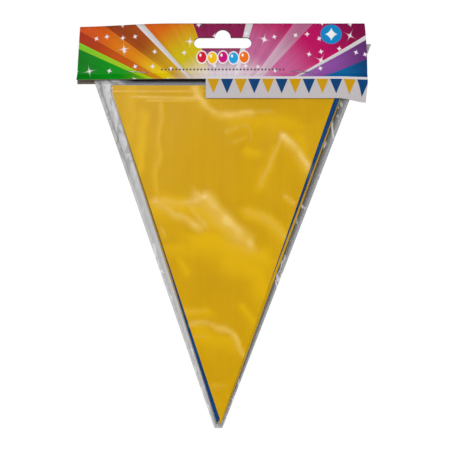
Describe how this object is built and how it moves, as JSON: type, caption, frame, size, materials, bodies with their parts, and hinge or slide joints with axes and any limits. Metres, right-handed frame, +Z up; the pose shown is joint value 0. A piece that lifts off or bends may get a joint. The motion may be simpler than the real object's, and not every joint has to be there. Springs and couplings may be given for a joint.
{
  "type": "hanging retail pack of pennant bunting",
  "caption": "Folded header card with a euro hang slot, stapled over a tapered clear bag of folded blue and yellow pennant bunting on a carrier tape.",
  "frame": {"origin": "top of the euro slot's hook notch at the middle of the header card, where the pack bears on a display hook", "axes": "+Z up along the hanging pack, +X to the right across its front, +Y from the printed front towards the back"},
  "size_m": [0.1641, 0.0059, 0.2266],
  "materials": {
    "printed_card": "coated and printed in colour, glossy",
    "staple_wire": "galvanised wire",
    "clear_film": "clear polypropylene film, glossy and creased",
    "white_tape": "flat woven polypropylene ribbon",
    "yellow_film": "glossy polyethylene film",
    "blue_film": "glossy polyethylene film"
  },
  "bodies": {
    "header": {"header_card": "printed_card", "staple_left": "staple_wire", "staple_right": "staple_wire", "bag_mouth_front": "clear_film", "bag_mouth_back": "clear_film"},
    "strip": {"header_strip": "printed_card"},
    "bag": {"bag_front_film": "clear_film", "bag_back_film": "clear_film", "carrier_tape": "white_tape"},
    "pennant_01": {"yellow_pennant_01": "yellow_film"},
    "pennant_02": {"blue_pennant_02": "blue_film"},
    "pennant_03": {"yellow_pennant_03": "yellow_film"},
    "pennant_04": {"blue_pennant_04": "blue_film"},
    "pennant_05": {"yellow_pennant_05": "yellow_film"},
    "pennant_06": {"blue_pennant_06": "blue_film"},
    "pennant_07": {"yellow_pennant_07": "yellow_film"},
    "pennant_08": {"blue_pennant_08": "blue_film"},
    "pennant_09": {"yellow_pennant_09": "yellow_film"},
    "pennant_10": {"blue_pennant_10": "blue_film"},
    "pennant_11": {"yellow_pennant_11": "yellow_film"},
    "pennant_12": {"blue_pennant_12": "blue_film"}
  },
  "joints": [
    {"name": "bag_swing", "type": "hinge", "parent": "header", "child": "bag", "pos_m": [0, 0.00235, -0.0296], "axis": [1, 0, 0], "range_deg": [0, 75]},
    {"name": "strip_flap", "type": "hinge", "parent": "header", "child": "strip", "pos_m": [0.03575, -0.003, -0.0278], "axis": [-1, 0, 0], "range_deg": [0, 60], "stiffness_Nm_per_rad": 0.0001},
    {"name": "pennant_01_sway", "type": "hinge", "parent": "bag", "child": "pennant_01", "pos_m": [0.00072, -0.00203, -0.03354], "axis": [0, 1, 0], "range_deg": [0, 0.2]},
    {"name": "pennant_02_sway", "type": "hinge", "parent": "bag", "child": "pennant_02", "pos_m": [0.00275, -0.00167, -0.03507], "axis": [0, 1, 0], "range_deg": [-0.65, 0]},
    {"name": "pennant_03_sway", "type": "hinge", "parent": "bag", "child": "pennant_03", "pos_m": [0.00463, -0.00129, -0.03496], "axis": [0, 1, 0], "range_deg": [0, 0.75]},
    {"name": "pennant_04_sway", "type": "hinge", "parent": "bag", "child": "pennant_04", "pos_m": [0.00091, -0.00093, -0.03398], "axis": [0, 1, 0], "range_deg": [-0.4, 0.65]},
    {"name": "pennant_05_sway", "type": "hinge", "parent": "bag", "child": "pennant_05", "pos_m": [0.00059, -0.00056, -0.03431], "axis": [0, 1, 0], "range_deg": [-0.8, 0.25]},
    {"name": "pennant_06_sway", "type": "hinge", "parent": "bag", "child": "pennant_06", "pos_m": [0.00109, -0.00018, -0.03387], "axis": [0, 1, 0], "range_deg": [-0.35, 0.85]},
    {"name": "pennant_07_sway", "type": "hinge", "parent": "bag", "child": "pennant_07", "pos_m": [0.00147, 0.00018, -0.03376], "axis": [0, 1, 0], "range_deg": [-0.15, 1.05]},
    {"name": "pennant_08_sway", "type": "hinge", "parent": "bag", "child": "pennant_08", "pos_m": [0.00084, 0.00056, -0.03409], "axis": [0, 1, 0], "range_deg": [-0.55, 0.55]},
    {"name": "pennant_09_sway", "type": "hinge", "parent": "bag", "child": "pennant_09", "pos_m": [0.00273, 0.00093, -0.03452], "axis": [0, 1, 0], "range_deg": [-0.3, 0.65]},
    {"name": "pennant_10_sway", "type": "hinge", "parent": "bag", "child": "pennant_10", "pos_m": [0.00062, 0.00129, -0.03354], "axis": [0, 1, 0], "range_deg": [-0.1, 0.95]},
    {"name": "pennant_11_sway", "type": "hinge", "parent": "bag", "child": "pennant_11", "pos_m": [0.00039, 0.00167, -0.03387], "axis": [0, 1, 0], "range_deg": [-0.4, 0.5]},
    {"name": "pennant_12_sway", "type": "hinge", "parent": "bag", "child": "pennant_12", "pos_m": [0.00216, 0.00203, -0.0342], "axis": [0, 1, 0], "range_deg": [-0.1, 0.2]}
  ]
}
